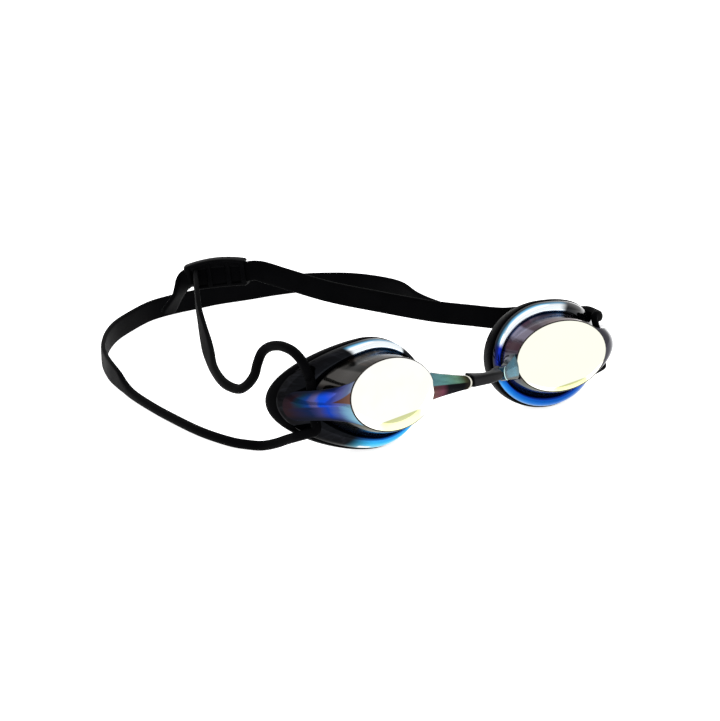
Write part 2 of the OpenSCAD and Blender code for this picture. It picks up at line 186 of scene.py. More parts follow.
class Look:
    """A material, and short ways to add nodes to it."""

    def __init__(self, name):
        self.material = bpy.data.materials.new(name)
        self.material.use_nodes = True
        self.tree = self.material.node_tree
        self.shader = self.tree.nodes["Principled BSDF"]

    def put(self, socket, value):
        if hasattr(value, "is_output"):
            self.tree.links.new(value, socket)
        else:
            socket.default_value = value

    def set(self, **values):
        for key, value in values.items():
            self.put(self.shader.inputs[key.replace("_", " ")], value)

    def math(self, operation, a, b=0.0):
        node = self.tree.nodes.new("ShaderNodeMath")
        node.operation = operation
        self.put(node.inputs[0], a)
        self.put(node.inputs[1], b)
        return node.outputs[0]

    def remap(self, x, low, high, a=0.0, b=1.0):
        node = self.tree.nodes.new("ShaderNodeMapRange")
        node.interpolation_type = "SMOOTHSTEP"
        keys = ("Value", "From Min", "From Max", "To Min", "To Max")
        for key, value in zip(keys, (x, low, high, a, b)):
            self.put(node.inputs[key], value)
        return node.outputs[0]

    def mix(self, amount, a, b):
        node = self.tree.nodes.new("ShaderNodeMix")
        node.data_type = "RGBA"
        self.put(node.inputs[0], amount)
        self.put(node.inputs[6], a)
        self.put(node.inputs[7], b)
        return node.outputs[2]

    def ramp(self, x, stops):
        """A colour ramp of (place, red, green, blue) stops."""
        node = self.tree.nodes.new("ShaderNodeValToRGB")
        elements = node.color_ramp.elements
        while len(elements) < len(stops):
            elements.new(0.5)
        for element, (place, *channels) in zip(elements, stops):
            element.position = place
            element.color = srgb(*channels)
        self.put(node.inputs[0], x)
        return node.outputs[0]

    def noise(self, scale, detail, rough, vector=None, distortion=0.0):
        node = self.tree.nodes.new("ShaderNodeTexNoise")
        if vector is None:
            vector = self.coordinates()
        keys = ("Vector", "Scale", "Detail", "Roughness", "Distortion")
        for key, value in zip(keys, (vector, scale, detail, rough, distortion)):
            self.put(node.inputs[key], value)
        return node.outputs[0]

    def coordinates(self):
        return self.tree.nodes.new("ShaderNodeTexCoord").outputs["Object"]

    def attribute(self, name):
        node = self.tree.nodes.new("ShaderNodeAttribute")
        node.attribute_name = name
        return node.outputs["Fac"]

    def vector(self, x, y, z):
        node = self.tree.nodes.new("ShaderNodeCombineXYZ")
        for socket, value in zip(node.inputs, (x, y, z)):
            self.put(socket, value)
        return node.outputs[0]

    def bump(self, height, strength, distance):
        node = self.tree.nodes.new("ShaderNodeBump")
        self.put(node.inputs["Height"], height)
        node.inputs["Strength"].default_value = strength
        node.inputs["Distance"].default_value = distance
        self.put(self.shader.inputs["Normal"], node.outputs[0])
        return self

    def band(self, x, a, b, c, d):
        """1 between b and c, easing to 0 at a and d."""
        return self.math("MULTIPLY", self.remap(x, a, b), self.remap(x, c, d, 1.0, 0.0))

    def toward(self, degrees, near, far):
        """1 within `near` degrees of a direction round the cup, easing to 0 at `far`."""
        x = self.math("MULTIPLY", self.attribute("side_u"), cos(radians(degrees)))
        y = self.math("MULTIPLY", self.attribute("side_v"), sin(radians(degrees)))
        return self.remap(self.math("ADD", x, y), cos(radians(far)), cos(radians(near)))


def silicone(name, dark, light, rough, grain, depth, gloss):
    look = Look(name)
    broad = look.noise(90.0, 3.0, 0.6)
    fine = look.noise(grain, 4.0, 0.65)
    colour = look.mix(look.remap(broad, *NOISE), dark, light)
    colour = look.mix(look.remap(fine, 0.58, 0.8, 0.0, 0.3), colour, srgb(14, 14, 16))
    roughness = look.math(
        "ADD", look.remap(broad, *NOISE, rough - 0.06, rough), look.remap(fine, *NOISE, 0.0, 0.1),
    )
    look.set(Base_Color=colour, Roughness=roughness, Specular_IOR_Level=gloss)
    look.bump(fine, 0.35, depth)
    return look.material


STRAP = silicone("strap_silicone", srgb(2, 2, 3), srgb(4, 4, 5), 0.5, 2600.0, 0.00005, 0.012)
GASKET = silicone("gasket_silicone", srgb(2, 2, 3), srgb(4, 4, 5), 0.42, 1400.0, 0.00003, 0.014)


def bridge_look():
    look = Look("bridge_soft_plastic")
    broad = look.noise(160.0, 3.0, 0.55)
    fine = look.noise(1800.0, 3.0, 0.6)
    colour = look.mix(look.remap(broad, *NOISE), srgb(11, 11, 13), srgb(18, 18, 21))
    look.set(
        Base_Color=colour, Roughness=look.remap(fine, *NOISE, 0.28, 0.38), Specular_IOR_Level=0.12,
    )
    return look.bump(fine, 0.2, 0.00003).material


def clip_look():
    look = Look("clip_gloss_plastic")
    fine = look.noise(900.0, 3.0, 0.6)
    wear = look.noise(240.0, 4.0, 0.7)
    colour = look.mix(look.remap(wear, 0.4, 0.7), srgb(3, 3, 4), srgb(6, 6, 7))
    look.set(
        Base_Color=colour, Roughness=look.remap(wear, 0.35, 0.7, 0.3, 0.42),
        Specular_IOR_Level=0.015,
    )
    return look.bump(fine, 0.12, 0.00003).material


BRIDGE = bridge_look()
CLIP_PLASTIC = clip_look()


def window_look(side):
    """A cream mirror with a paler slanted patch along the bottom, a painted reflection."""
    look = Look(f"window_mirror_{'r' if side == RIGHT else 'l'}")
    u, v = look.attribute("cup_u"), look.attribute("cup_v")
    # Painted reflection: a cream patch below a slanted line along the window's bottom.
    slant = look.math("ADD", look.math("MULTIPLY", u, 0.12 if side == RIGHT else -0.08), v)
    edge = -7.3 if side == RIGHT else -9.3
    cloud = look.noise(120.0, 2.0, 0.5)
    patch = look.remap(slant, edge - 0.35, edge, 1.0, 0.0)
    edges = (-13.0, -9.0, 4.0, 11.0) if side == RIGHT else (-8.0, -3.0, 7.0, 9.0)
    reach = look.band(u, *edges)
    patch = look.math("MULTIPLY", patch, reach)
    white = look.mix(
        look.remap(cloud, *NOISE, 0.0, 0.5),
        srgb(254, 254, 250) if side == RIGHT else srgb(253, 254, 238), srgb(253, 253, 240),
    )
    fade = look.remap(slant, edge - 2.6, edge)
    cream = look.mix(fade, srgb(222, 226, 178), srgb(206, 210, 150))
    colour = look.mix(patch, white, cream)
    look.set(Base_Color=colour, Metallic=1.0, Roughness=look.remap(cloud, *NOISE, 0.02, 0.05))
    return look.material


def wall_look(side):
    """The mirror coat on the side wall and the flange, with reflections, highlights and shade
    painted into its colour.

    lip runs from 0 at the window, through 0.5 in the valley, to 1 at the rim.
    """
    look = Look(f"lens_mirror_{'r' if side == RIGHT else 'l'}")
    lip, side_u, side_v = look.attribute("lip"), look.attribute("side_u"), look.attribute("side_v")
    # Painted reflections: streaks on the side wall, and lighter and darker patches round the cup.
    streak_place = look.vector(
        look.math("MULTIPLY", side_u, 2.4), look.math("MULTIPLY", side_v, 2.4),
        look.math("MULTIPLY", lip, 0.8),
    )
    streak = look.noise(2.2, 3.0, 0.55, streak_place, 0.6)
    fleck = look.noise(4.5, 4.0, 0.6, streak_place, 1.2)
    if side == RIGHT:
        wall = look.ramp(
            streak, [(0.3, 24, 22, 20), (0.45, 58, 48, 40), (0.56, 34, 30, 28), (0.7, 76, 66, 60)],
        )
        wall = look.mix(
            look.math("MULTIPLY", look.toward(98, 4, 12), look.band(lip, 0.12, 0.22, 0.3, 0.42)),
            wall, srgb(112, 100, 94),
        )
        wall = look.mix(look.toward(36, 9, 17), wall, srgb(74, 72, 70))
        wall = look.mix(look.math("MULTIPLY", look.toward(54, 3, 8), 0.8), wall, srgb(14, 18, 18))
        wall = look.mix(look.toward(14, 4, 12), wall, srgb(8, 8, 11))
        wall = look.mix(
            look.toward(270, 40, 80), wall,
            look.ramp(
                lip,
                [(0.05, 84, 80, 50), (0.2, 44, 44, 36), (0.34, 24, 34, 40), (0.48, 14, 22, 46)],
            ),
        )
    else:
        wall = look.ramp(
            streak,
            [(0.3, 42, 32, 42), (0.44, 84, 74, 86), (0.55, 52, 40, 52), (0.68, 100, 92, 106)],
        )
        wall = look.mix(look.toward(128, 6, 12), wall, srgb(116, 110, 128))
        wall = look.mix(look.math("MULTIPLY", look.toward(114, 3, 8), 0.9), wall, srgb(58, 36, 50))
        wall = look.mix(look.toward(149, 3, 8), wall, srgb(64, 42, 52))
        wall = look.mix(look.toward(172, 8, 14), wall, srgb(92, 92, 104))
        wall = look.mix(
            look.toward(74, 14, 34), wall,
            look.ramp(
                lip,
                [(0.06, 120, 104, 104), (0.2, 84, 62, 72), (0.36, 52, 38, 56), (0.48, 20, 22, 34)],
            ),
        )
        wall = look.mix(
            look.toward(262, 40, 75), wall,
            look.ramp(
                lip,
                [(0.05, 84, 86, 64), (0.22, 34, 58, 64), (0.36, 22, 40, 60), (0.48, 10, 18, 50)],
            ),
        )
    # Painted reflections on the flange: dark tones across it, and on the left cup a blue band at the
    # nose side.
    flange = look.ramp(
        lip, [(0.5, 8, 11, 20), (0.6, 15, 17, 21), (0.75, 11, 12, 15), (0.9, 7, 7, 9)],
    )
    flange = look.mix(look.remap(fleck, 0.45, 0.7, 0.0, 0.5), flange, srgb(27, 28, 33))
    # Painted highlight: a white band with blue edges along the flange's top.
    painted_highlight_band = look.ramp(
        lip,
        [
            (0.5, 8, 34, 74), (0.57, 40, 120, 190), (0.62, 236, 246, 252), (0.76, 248, 252, 255),
            (0.81, 96, 160, 196), (0.87, 18, 44, 58), (0.96, 6, 8, 10),
        ],
    )
    if side == RIGHT:
        # Painted reflection: the floor seen in the flange's bottom, in bright blue.
        low_blue_reflection = look.ramp(
            lip,
            [
                (0.5, 12, 26, 62), (0.62, 20, 90, 176), (0.74, 60, 180, 228), (0.9, 136, 216, 232),
                (0.96, 8, 26, 44),
            ],
        )
        flange = look.mix(look.toward(99, 26, 31), flange, painted_highlight_band)
        flange = look.mix(look.toward(250, 24, 50), flange, low_blue_reflection)
        # Painted highlight: a small white glint on the flange's lower edge.
        glint = look.math("MULTIPLY", look.toward(284, 3, 6), look.band(lip, 0.8, 0.84, 0.89, 0.93))
        flange = look.mix(glint, flange, srgb(250, 252, 255))
    else:
        # Painted reflection: the floor seen in the flange's bottom, in bright blue.
        low_blue_reflection = look.ramp(
            lip,
            [
                (0.5, 6, 12, 60), (0.64, 5, 42, 132), (0.78, 7, 104, 190), (0.91, 22, 138, 212),
                (0.96, 4, 24, 50),
            ],
        )
        flange = look.mix(
            look.toward(162, 12, 19), flange,
            look.ramp(
                lip,
                [(0.5, 8, 14, 70), (0.66, 10, 44, 176), (0.85, 10, 20, 80), (0.95, 10, 10, 16)],
            ),
        )
        flange = look.mix(look.toward(110, 37, 48), flange, painted_highlight_band)
        flange = look.mix(look.toward(250, 46, 62), flange, low_blue_reflection)
    colour = look.mix(look.remap(lip, 0.485, 0.515), wall, flange)
    # Painted shade: a dark line along the valley between the wall and the flange.
    colour = look.mix(look.band(lip, 0.46, 0.49, 0.505, 0.53), colour, srgb(8, 10, 18))
    # Painted shade: dark along the outer rim, where the flange meets the gasket.
    colour = look.mix(look.remap(lip, 0.94, 0.985), colour, srgb(10, 11, 13))
    # Painted shade: a dark outline at the window's edge.
    colour = look.mix(look.remap(lip, 0.03, 0.05, 1.0, 0.0), colour, srgb(44, 40, 38))
    look.set(
        Base_Color=colour, Metallic=0.9, Roughness=look.remap(fleck, *NOISE, 0.06, 0.12),
        Specular_IOR_Level=0.3,
    )
    look.bump(streak, 0.05, 0.0002)
    return look.material


def inside_look():
    look = Look("lens_inside_tint")
    cloud = look.noise(140.0, 3.0, 0.5)
    colour = look.mix(look.remap(cloud, *NOISE), srgb(16, 22, 34), srgb(26, 36, 52))
    look.set(
        Base_Color=colour, Roughness=look.remap(cloud, *NOISE, 0.08, 0.14), Specular_IOR_Level=0.5,
    )
    return look.material


def arm_look(side):
    """along runs from 0 at the window to 1 at the end; across from -1 at the bottom to 1."""
    look = Look(f"arm_mirror_{'r' if side == RIGHT else 'l'}")
    along, across = look.attribute("along"), look.attribute("across")
    wave = look.noise(2.2, 2.0, 0.5, look.vector(along, across, 0.0))
    place = look.math("ADD", along, look.remap(wave, *NOISE, -0.03, 0.03))
    # Painted reflections: bands of colour along the arm, another run on its lower half, and a brown
    # wedge by the window.
    if side == RIGHT:
        colour = look.ramp(
            place,
            [
                (0.0, 128, 138, 158), (0.12, 94, 108, 148), (0.26, 84, 88, 152),
                (0.38, 44, 62, 150), (0.48, 10, 56, 168), (0.57, 4, 56, 156), (0.62, 66, 66, 112),
                (0.68, 58, 56, 96), (0.73, 8, 40, 96), (0.83, 3, 34, 52), (0.91, 28, 12, 20),
                (1.0, 18, 9, 14),
            ],
        )
        low = look.ramp(
            place,
            [
                (0.0, 108, 148, 162), (0.16, 88, 124, 148), (0.3, 58, 72, 120), (0.45, 10, 46, 136),
                (0.6, 40, 40, 84), (0.72, 4, 20, 52), (0.95, 26, 13, 18),
            ],
        )
        colour = look.mix(look.remap(across, -0.14, -0.02, 1.0, 0.0), colour, low)
        above = look.math(
            "SUBTRACT", across, look.math("ADD", look.math("MULTIPLY", along, 0.49), -0.08),
        )
        below = look.math(
            "SUBTRACT", look.math("SUBTRACT", 0.5, look.math("MULTIPLY", along, 0.95)), across,
        )
        wedge = look.remap(look.math("MINIMUM", above, below), 0.0, 0.05)
        colour = look.mix(
            wedge, colour,
            look.mix(look.remap(along, 0.05, 0.35), srgb(112, 80, 68), srgb(78, 48, 46)),
        )
    else:
        # Painted reflections: colours along the left arm.
        colour = look.ramp(
            place,
            [
                (0.0, 60, 59, 66), (0.2, 54, 54, 61), (0.4, 40, 42, 54), (0.7, 12, 24, 56),
                (1.0, 20, 12, 17),
            ],
        )
    # Painted shade: the arm's long edges darker, away from the window, so they read as rounded.
    edge = look.remap(look.math("ABSOLUTE", across), 0.5, 0.95, 0.0, 0.92)
    colour = look.mix(
        look.math("MULTIPLY", edge, look.remap(along, 0.08, 0.42)), colour, srgb(6, 9, 20),
    )
    # Painted shade: a dark line at the very edges.
    rim = look.math(
        "MULTIPLY", look.remap(look.math("ABSOLUTE", across), 0.93, 0.99),
        look.remap(along, 0.0, 0.5, 0.7, 0.3),
    )
    colour = look.mix(rim, colour, srgb(20, 22, 40))
    look.set(
        Base_Color=colour, Metallic=0.9, Roughness=look.remap(wave, *NOISE, 0.09, 0.15),
        Specular_IOR_Level=0.3,
    )
    return look.material


def tab_look(side):
    look = Look(f"tab_mirror_{'r' if side == RIGHT else 'l'}")
    along, across = look.attribute("along"), look.attribute("across")
    cloud = look.noise(3.0, 2.0, 0.5, look.vector(along, across, 0.0))
    # Painted reflections: the tab's upper and lower halves in different colours; on the left tab the
    # darker lower part is painted shade.
    if side == RIGHT:
        top = look.ramp(
            along,
            [
                (0.0, 90, 132, 142), (0.35, 92, 142, 138), (0.65, 100, 140, 116),
                (0.85, 62, 64, 40), (0.94, 26, 26, 22),
            ],
        )
        low = look.ramp(
            along,
            [
                (0.0, 92, 66, 60), (0.28, 88, 46, 60), (0.42, 14, 12, 15), (0.8, 10, 12, 12),
                (0.94, 44, 38, 26),
            ],
        )
        colour = look.mix(look.remap(across, -0.06, 0.06), low, top)
        painted_highlight_line = srgb(236, 234, 220)
    else:
        top = look.ramp(
            along, [(0.0, 40, 76, 90), (0.3, 12, 98, 127), (0.7, 10, 88, 114), (0.94, 12, 46, 62)],
        )
        colour = look.mix(look.remap(across, -0.8, -0.6, 1.0, 0.0), top, srgb(30, 34, 44))
        painted_highlight_line = srgb(178, 220, 226)
    colour = look.mix(look.remap(cloud, 0.35, 0.65, 0.0, 0.25), colour, srgb(20, 24, 30))
    # Painted highlight: a pale line round the tab's rounded end.
    colour = look.mix(look.band(along, 0.945, 0.957, 0.978, 0.992), colour, painted_highlight_line)
    # Painted shade: dark along the tab's long edges.
    colour = look.mix(
        look.remap(look.math("ABSOLUTE", across), 0.985, 1.0), colour, srgb(12, 26, 34),
    )
    look.set(
        Base_Color=colour, Metallic=0.85, Roughness=look.remap(cloud, *NOISE, 0.08, 0.13),
        Specular_IOR_Level=0.3,
    )
    return look.material


INSIDE = inside_look()

# ---- Lens ----

AROUND = 176
SKIN = 1.8


def lens_sections():
    """Rings of the outer skin from the window's edge to the rim, each with its lip value."""

    def run(rows, steps, first, last, skip):
        rows = smooth_rows(rows, steps)
        lips = np.linspace(first, last, len(rows))
        return list(zip(rows, lips))[skip:]

    out = run(
        [[16.7, 16.7, 11.3, 0.0, 0], [16.92, 16.92, 11.52, 0.06, 0], [17.08, 17.08, 11.68, 0.3, 0]],
        2, 0, 0.04, 0,
    )
    out += run(
        [
            [17.08, 17.08, 11.68, 0.3, 0], [17.5, 17.5, 12.2, 2.6, 0.1],
            [17.9, 17.9, 12.9, 6.4, 0.5], [18.4, 19.2, 13.8, 8.2, 1.15],
        ],
        5, 0.04, 0.5, 1,
    )
    out += run(
        [
            [18.4, 19.2, 13.8, 8.2, 1.15], [18.8, 20.6, 14.4, 7.7, 1.12],
            [19.3, 23.4, 15.7, 7.9, 1.07], [19.8, 25.9, 16.8, 9.2, 1.02],
            [20.0, 27.1, 17.2, 10.6, 1],
        ],
        5, 0.5, 0.95, 1,
    )
    out += run(
        [[20.0, 27.1, 17.2, 10.6, 1], [20.0, 27.2, 17.2, 11.2, 1], [19.8, 26.9, 17.0, 11.45, 1]], 2,
        0.95, 1.0, 1,
    )
    return out


INNER = [
    [19.8, 26.9, 17.0, 11.45, 1], [18.0, 24.4, 14.6, 11.4, 1], [17.2, 19.4, 12.9, 10.8, 1.1],
    [16.6, 17.2, 12.0, 9.4, 0.9], [16.1, 16.1, 11.0, 4.2, 0.2], [15.6, 15.6, 10.4, 1.8, 0],
]


def build_lens(side):
    """The cup's outer and inner skin, and its window, in one mesh."""
    outer = lens_sections()
    inner = list(smooth_rows(INNER, 3))[1:]
    rows = [r for r, _ in outer] + inner
    lips = [l for _, l in outer] + [1.0] * len(inner)
    points, lip, side_u, side_v = [], [], [], []
    for row, value in zip(rows, lips):
        for i, p in enumerate(ring(*row, AROUND)):
            points.append(p)
            lip.append(value)
            flat = Vector((p[0] / max(row[1 if p[0] > 0 else 0], 1), p[2] / row[2]))
            flat = flat.normalized() if flat.length > 1e-6 else Vector((1, 0))
            side_u.append(flat.x)
            side_v.append(flat.y)
    faces = quads(len(rows), AROUND)
    slots = [0 if k < len(outer) - 1 else 2 for k in range(len(rows) - 1) for _ in range(AROUND)]
    # The flat window and the flat inside of the window are filled with rings that shrink to a point.
    for base, slot, depth in ((0, 1, 0.0), ((len(rows) - 1) * AROUND, 2, SKIN)):
        start = base
        for share in (0.75, 0.5, 0.25):
            first = len(points)
            for i in range(AROUND):
                p = points[base + i]
                points.append((p[0] * share, depth, p[2] * share))
                lip.append(0.0)
                side_u.append(side_u[base + i])
                side_v.append(side_v[base + i])
            for i in range(AROUND):
                j = (i + 1) % AROUND
                face = (start + i, first + i, first + j, start + j)
                faces.append(face if base == 0 else face[::-1])
                slots.append(slot)
            start = first
        points.append((0, depth, 0))
        lip.append(0.0)
        side_u.append(1)
        side_v.append(0)
        for i in range(AROUND):
            face = (start + i, len(points) - 1, start + (i + 1) % AROUND)
            faces.append(face if base == 0 else face[::-1])
            slots.append(slot)
    attributes = {
        "lip": lip, "side_u": side_u, "side_v": side_v,
        "cup_u": [p[0] for p in points], "cup_v": [p[2] for p in points],
    }
    name = "lens_shell_right" if side == RIGHT else "lens_shell_left"
    obj = cup_make(
        side, name, points, [f[::-1] for f in faces], [wall_look(side), window_look(side), INSIDE],
        attributes=attributes, slots=slots, sharp=38,
    )
    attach(obj, side)
    return obj


ARM_ROOT, ARM_TIP = Vector((16.9, 0.25)), Vector((28, 21))
ARM_BULGE, ARM_CROWN, ARM_ROUND, ARM_HALF = Vector((24, 1.2)), 3.5, 0.14, 4.6
ARM_SPREAD_TOP, ARM_SPREAD_LOW = 36, 48
WINDOW_HALF_WIDTH, WINDOW_HALF_HEIGHT = 17, 11.6


def arm_point(across, along, inward):
    """The arm bulges from the window's outer edge and curves back to its rounded end."""
    a = radians(ARM_SPREAD_TOP if across > 0 else ARM_SPREAD_LOW) * across
    start_u, start_v = WINDOW_HALF_WIDTH * cos(a), WINDOW_HALF_HEIGHT * sin(a)
    reach = along * (1 - ARM_ROUND * (1 - sqrt(max(0, 1 - across * across))))
    bulge = Vector((ARM_BULGE.x - ARM_CROWN * across * across, ARM_BULGE.y))
    place = ARM_ROOT * (1 - reach) ** 2 + bulge * 2 * reach * (1 - reach) + ARM_TIP * reach**2
    way = ((bulge - ARM_ROOT) * (1 - reach) + (ARM_TIP - bulge) * reach).normalized()
    ease = (1 - reach) ** 3
    v = ARM_HALF * across + (start_v - ARM_HALF * across) * ease
    u = place.x - (WINDOW_HALF_WIDTH - start_u) * ease
    return (u - inward * way.y, place.y + inward * way.x, v)


def plate(side, name, point, thickness, material, wide, long, bevel, turned=False):
    """A bent plate from point(across, along, inward), closed round its edges and bevelled.

    turned is for a plate whose across, along and inward run the other way round.
    """
    acrosses = [-cos(pi * i / wide) for i in range(wide + 1)]
    alongs = [i / long for i in range(long + 1)]
    points, across, along = [], [], []
    for inward in (0, thickness):
        for a in acrosses:
            for b in alongs:
                points.append(point(a, b, inward))
                across.append(a)
                along.append(b)
    n, m = wide + 1, long + 1

    def at(layer, i, j):
        return layer * n * m + i * m + j

    faces = []
    for i in range(n - 1):
        for j in range(m - 1):
            faces.append((at(0, i, j), at(0, i, j + 1), at(0, i + 1, j + 1), at(0, i + 1, j)))
            faces.append((at(1, i, j), at(1, i + 1, j), at(1, i + 1, j + 1), at(1, i, j + 1)))
    for j in range(m - 1):
        faces.append((at(0, 0, j), at(1, 0, j), at(1, 0, j + 1), at(0, 0, j + 1)))
        faces.append((at(0, n - 1, j), at(0, n - 1, j + 1), at(1, n - 1, j + 1), at(1, n - 1, j)))
    for i in range(n - 1):
        faces.append((at(0, i, 0), at(0, i + 1, 0), at(1, i + 1, 0), at(1, i, 0)))
        faces.append((at(0, i, m - 1), at(1, i, m - 1), at(1, i + 1, m - 1), at(0, i + 1, m - 1)))
    if turned:
        faces = [face[::-1] for face in faces]
    obj = cup_make(
        side, name, points, faces, [material], attributes={"across": across, "along": along},
        sharp=50,
    )
    modifier = obj.modifiers.new("edges", "BEVEL")
    modifier.width = bevel * MM
    modifier.segments = 3
    modifier.limit_method = "ANGLE"
    modifier.angle_limit = radians(50)
    modifier.harden_normals = True
    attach(obj, side)


TAB_ROOT, TAB_TIP, TAB_REACH = Vector((-16.2, 0.6)), Vector((-26, -8)), 13.2
TAB_START, TAB_END = 4.4, 2.3


def tab_point(across, along, inward):
    """The tab runs straight from the window's nose edge, and narrows to its rounded end."""
    way = (TAB_TIP - TAB_ROOT).normalized()
    half = TAB_START + (TAB_END - TAB_START) * min(1, along * 1.08) ** 0.85
    end_round = TAB_END * (1 - sqrt(max(0, 1 - across * across)))
    far = along * (TAB_REACH - end_round)
    crown = 0.35 * (1 - across * across) * (1 - along)
    place = TAB_ROOT + way * far
    return (place.x + way.y * (inward - crown), place.y - way.x * (inward - crown), half * across)


lens_nodes = {RIGHT: "lens_right", LEFT: "lens_left"}
for side in (RIGHT, LEFT):
    tag = "right" if side == RIGHT else "left"
    shell = build_lens(side)
    plate(side, f"temple_arm_{tag}", arm_point, 1.6, arm_look(side), 20, 20, 0.35)
    plate(side, f"nose_tab_{tag}", tab_point, 2.0, tab_look(side), 16, 14, 0.4, turned=True)
    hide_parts(lens_nodes[side])

# ---- Gasket: [nose, temple, height, depth, wrap] rings round its section ----

GASKET_AROUND = 128
GASKET_ROWS = [
    [20.2, 27.3, 17.4, 11.5, 1], [20.55, 27.9, 17.6, 11.75, 1], [20.75, 28.4, 17.7, 13.0, 1],
    [20.6, 28.1, 17.5, 15.0, 1], [20.1, 26.9, 17.0, 17.4, 1], [19.2, 25.0, 16.2, 19.0, 1],
    [18.0, 23.2, 15.0, 19.5, 1], [17.1, 21.9, 13.8, 19.0, 1], [16.7, 21.7, 13.5, 17.4, 1],
    [16.8, 22.3, 13.8, 15.0, 1], [17.4, 23.4, 14.3, 12.8, 1], [18.0, 24.4, 14.7, 11.5, 1],
]

for side in (RIGHT, LEFT):
    tag = "right" if side == RIGHT else "left"
    rows = smooth_rows(GASKET_ROWS, 3)
    points = [p for row in rows for p in ring(*row, GASKET_AROUND)]
    obj = cup_make(
        side, f"gasket_skirt_{tag}", points,
        [f[::-1] for f in quads(len(rows), GASKET_AROUND, True)], [GASKET],
    )
    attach(obj, side)
    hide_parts(f"gasket_{tag}")

# ---- Nose bridge: two halves, each curving back from the middle to its cup ----

BRIDGE_HEIGHT, BRIDGE_AROUND = 20.93, 32


def bridge_half(side):
    """[x, front, back] rows: the web, the step behind the tab's end, and the pad behind the tab."""
    sign = -1 if side == RIGHT else 1
    rows = [
        [0, -5.9, -2.9], [1.8, -5.85, -2.3], [3.4, -5.7, -1.3], [4.6, -5.5, -0.25],
        [5.2, -5.35, 0.15], [5.42, -5.0, 0.3], [5.5, -4.2, 0.38], [5.54, -2.9, 0.42],
        [5.7, -1.75, 0.52], [6.2, -1.35, 0.9], [7.0, -0.8, 1.4], [7.8, -0.25, 1.85],
        [8.3, 0.15, 1.75], [8.6, 0.5, 1.45],
    ]
    rows = smooth_rows(rows, 4)
    points = []
    for x, front, behind in rows:
        swell = (0.4 if side == RIGHT else -0.35) * min(1, x / 5.5) ** 2
        top = 1.75 + swell * (0.1 if side == RIGHT else 1) if x < 5.5 else 0.75 + 0.14 * (x - 5.5)
        low = 1.85 + swell if x < 5.5 else 1.5 + 0.22 * (x - 5.5)
        fade = sqrt(max(0.1, 1 - max(0, (x - 6.6) / 2.1) ** 4))
        for i in range(BRIDGE_AROUND):
            t = 2 * pi * (i + 0.5) / BRIDGE_AROUND
            c, s = cos(t), sin(t)
            y = (front + behind) / 2 + (behind - front) / 2 * (1 if c > 0 else -1) * abs(c) ** 0.5
            z = BRIDGE_HEIGHT + (top if s > 0 else -low) * fade * abs(s) ** 0.5
            points.append((sign * x, y, z))
    last = len(rows) - 1
    faces = quads(len(rows), BRIDGE_AROUND)
    faces.append(tuple(range(last * BRIDGE_AROUND, (last + 1) * BRIDGE_AROUND))[::-1])
    if side == LEFT:
        faces = [f[::-1] for f in faces]
    name = "nose_bridge_right_half" if side == RIGHT else "nose_bridge_left_half"
    obj = make(name, points, [f[::-1] for f in faces], [BRIDGE], sharp=60)
    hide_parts("nose_bridge")
    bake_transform(obj)


for side in (RIGHT, LEFT):
    bridge_half(side)

# ---- Strap: one loop, from its free tail round to the clip again ----
# Rows are [x, y, z, width, thickness, lean]; the width stands upright unless it leans.

C, W, T = 3.2, 7.7, 1.8
CLIP_MIDDLE = Vector((-29.3, 123, 29.8))
CLIP_TURN, CLIP_RISE = radians(-36), radians(6.5)
SLOT_OUT, SLOT_BACK, SLOT_WIDE, SLOT_THICK = 21.8, 13.2, 3.3, 2.4
CLIP_WAY = Vector(
    (cos(CLIP_TURN) * cos(CLIP_RISE), sin(CLIP_TURN) * cos(CLIP_RISE), sin(CLIP_RISE))
)


def slot_rows(side, *heights):
    """Rows through a temple slot, at these heights in the cup's own frame."""
    places = [cup_point((SLOT_OUT, SLOT_BACK, height), side) for height in heights]
    return [[*place, SLOT_WIDE, SLOT_THICK, 0] for place in places]


def clip_rows(*places):
    """Rows through the clip, at these distances from its middle."""
    return [[*(CLIP_MIDDLE + s * CLIP_WAY), W - 0.5, T, 0] for s in places]


TAIL_AND_UPPER = [
    [-43.9, 133.6, 15.4, W - 1.2, T, 56], [-43.2, 133.1, 17, W, T, 60], [-41.7, 132, 20, W, T, 66],
    [-40.4, 131.1, 22.6, W, T, 66], [-39.4, 130.4, 24.9, W, T, 54], [-38.3, 129.7, 27, W, T, 28],
    *clip_rows(-9.2, -5, 1, 7, 11.5, 14.5), [-14.7, 112.4, 30.6, W, T, 0],
    [-9.5, 105.4, 28.8, W, T, 0], [0.6, 93.4, 25.4, W, T, 0], [13, 79.8, 22.9, W, T, 0],
    [25.2, 66.4, 20.8, W, T, 0], [35, 55.7, 20.1, W, T, 0], [42.2, 47.7, 19.8, W, T, 0],
]
LEFT_SIDE = [
    [47.4, 44, 20.2, W - 0.2, T, 0], [52.4, 40.6, 21, 5.6, 2.1, 0],
    [57.8, 37, 22.1, C + 0.6, 2.6, 0], [61.1, 33, 22.9, C + 0.2, C, 0],
    [62, 28.1, 23.7, C + 0.6, C, 0], [61.6, 23.2, 24.8, C + 1, C, 0],
    [60.6, 17.8, 25.3, C + 1, C, 0], [58.9, 13.9, 26.2, C + 0.5, 2.9, 0],
    *slot_rows(LEFT, 8, 4, 0, -4, -8), [57.5, 9.9, 9.9, C, 2.8, 0], [57.6, 14.4, 7.0, C, C, 0],
    [58.0, 19.6, 4.3, C, C, 0], [59.8, 26, 2.4, C, C, 0], [62.8, 34, 1.7, C, C, 0],
    [67.4, 43, 1.65, C, C, 0], [71.9, 54.5, 1.65, C, C, 0], [74.6, 66, 1.65, C, C, 0],
    [75.2, 78, 1.65, C, C, 0],
]
